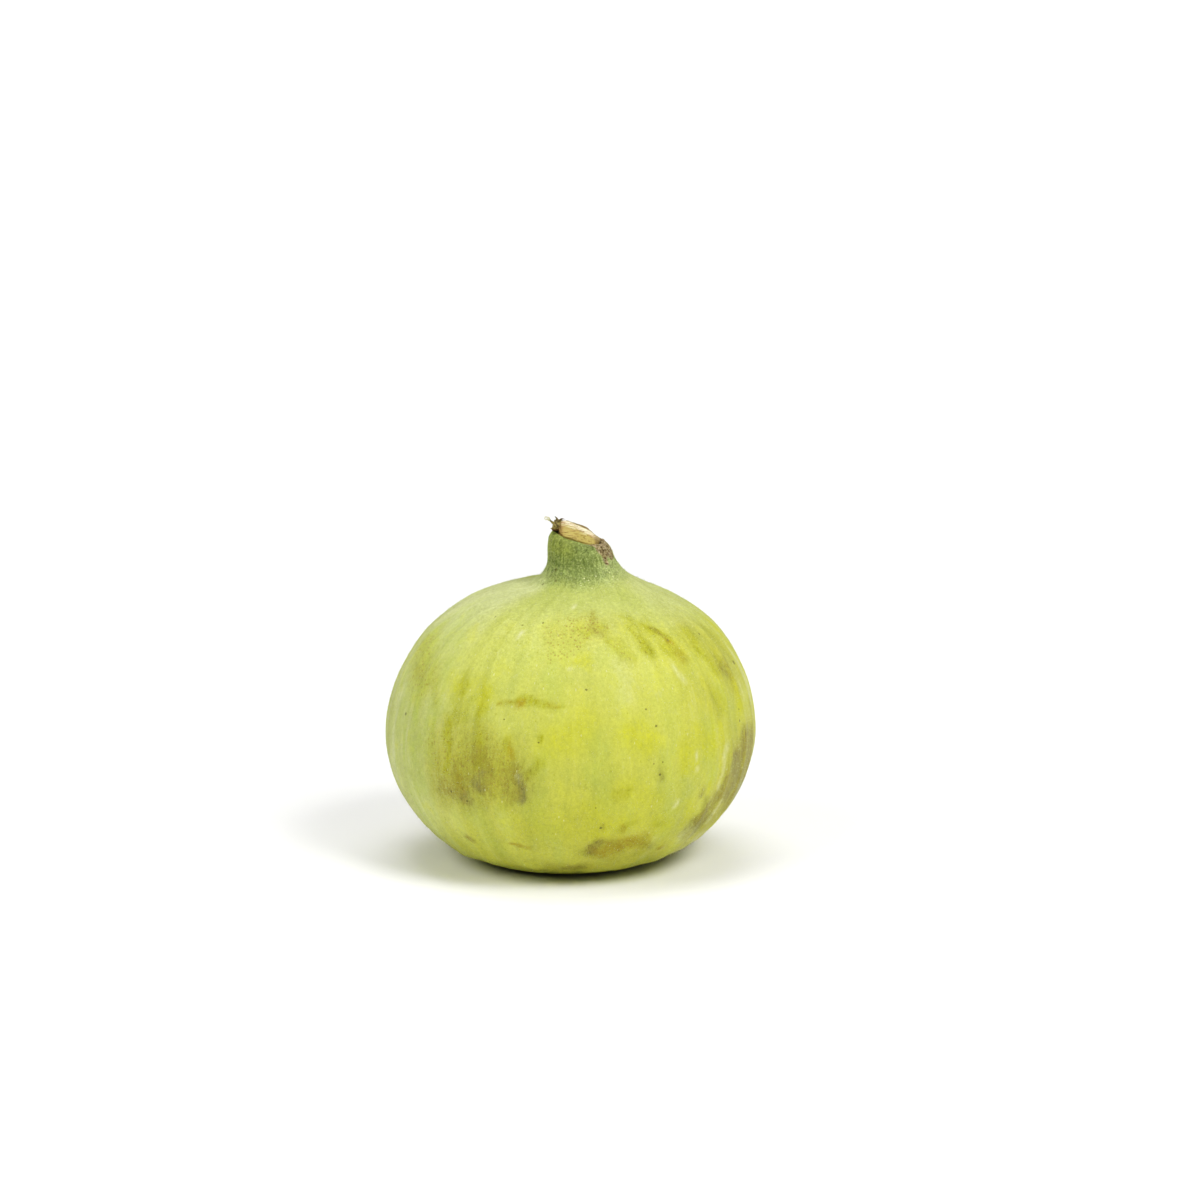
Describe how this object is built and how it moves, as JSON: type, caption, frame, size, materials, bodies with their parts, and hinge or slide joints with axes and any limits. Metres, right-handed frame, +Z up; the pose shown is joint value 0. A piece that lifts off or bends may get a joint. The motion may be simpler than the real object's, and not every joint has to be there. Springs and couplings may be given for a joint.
{
  "type": "fresh fig",
  "caption": "Fresh green fig, broad and round with a short neck, a torn woody stalk end, faint ribs and a scaly eye beneath; stands on the flat round its eye.",
  "frame": {"origin": "on the ground, under the middle of the fruit's bounding box, at the flat ring round the eye", "axes": "+Z up through the neck and stalk, -Y the side seen from the front, +X the side the torn stalk end slopes down to"},
  "size_m": [0.0542, 0.0517, 0.0513],
  "materials": {
    "skin": "satin, lime green with a pale bloom",
    "stalk_wood": "matte, pale cream and fibrous",
    "dry_bract": "matte, dark brown and dry",
    "eye_scale": "matte, brownish green"
  },
  "bodies": {
    "root": {"fig_body": "skin", "stalk_core": "stalk_wood", "stalk_bract": "dry_bract", "eye_scales": "eye_scale"}
  },
  "joints": []
}
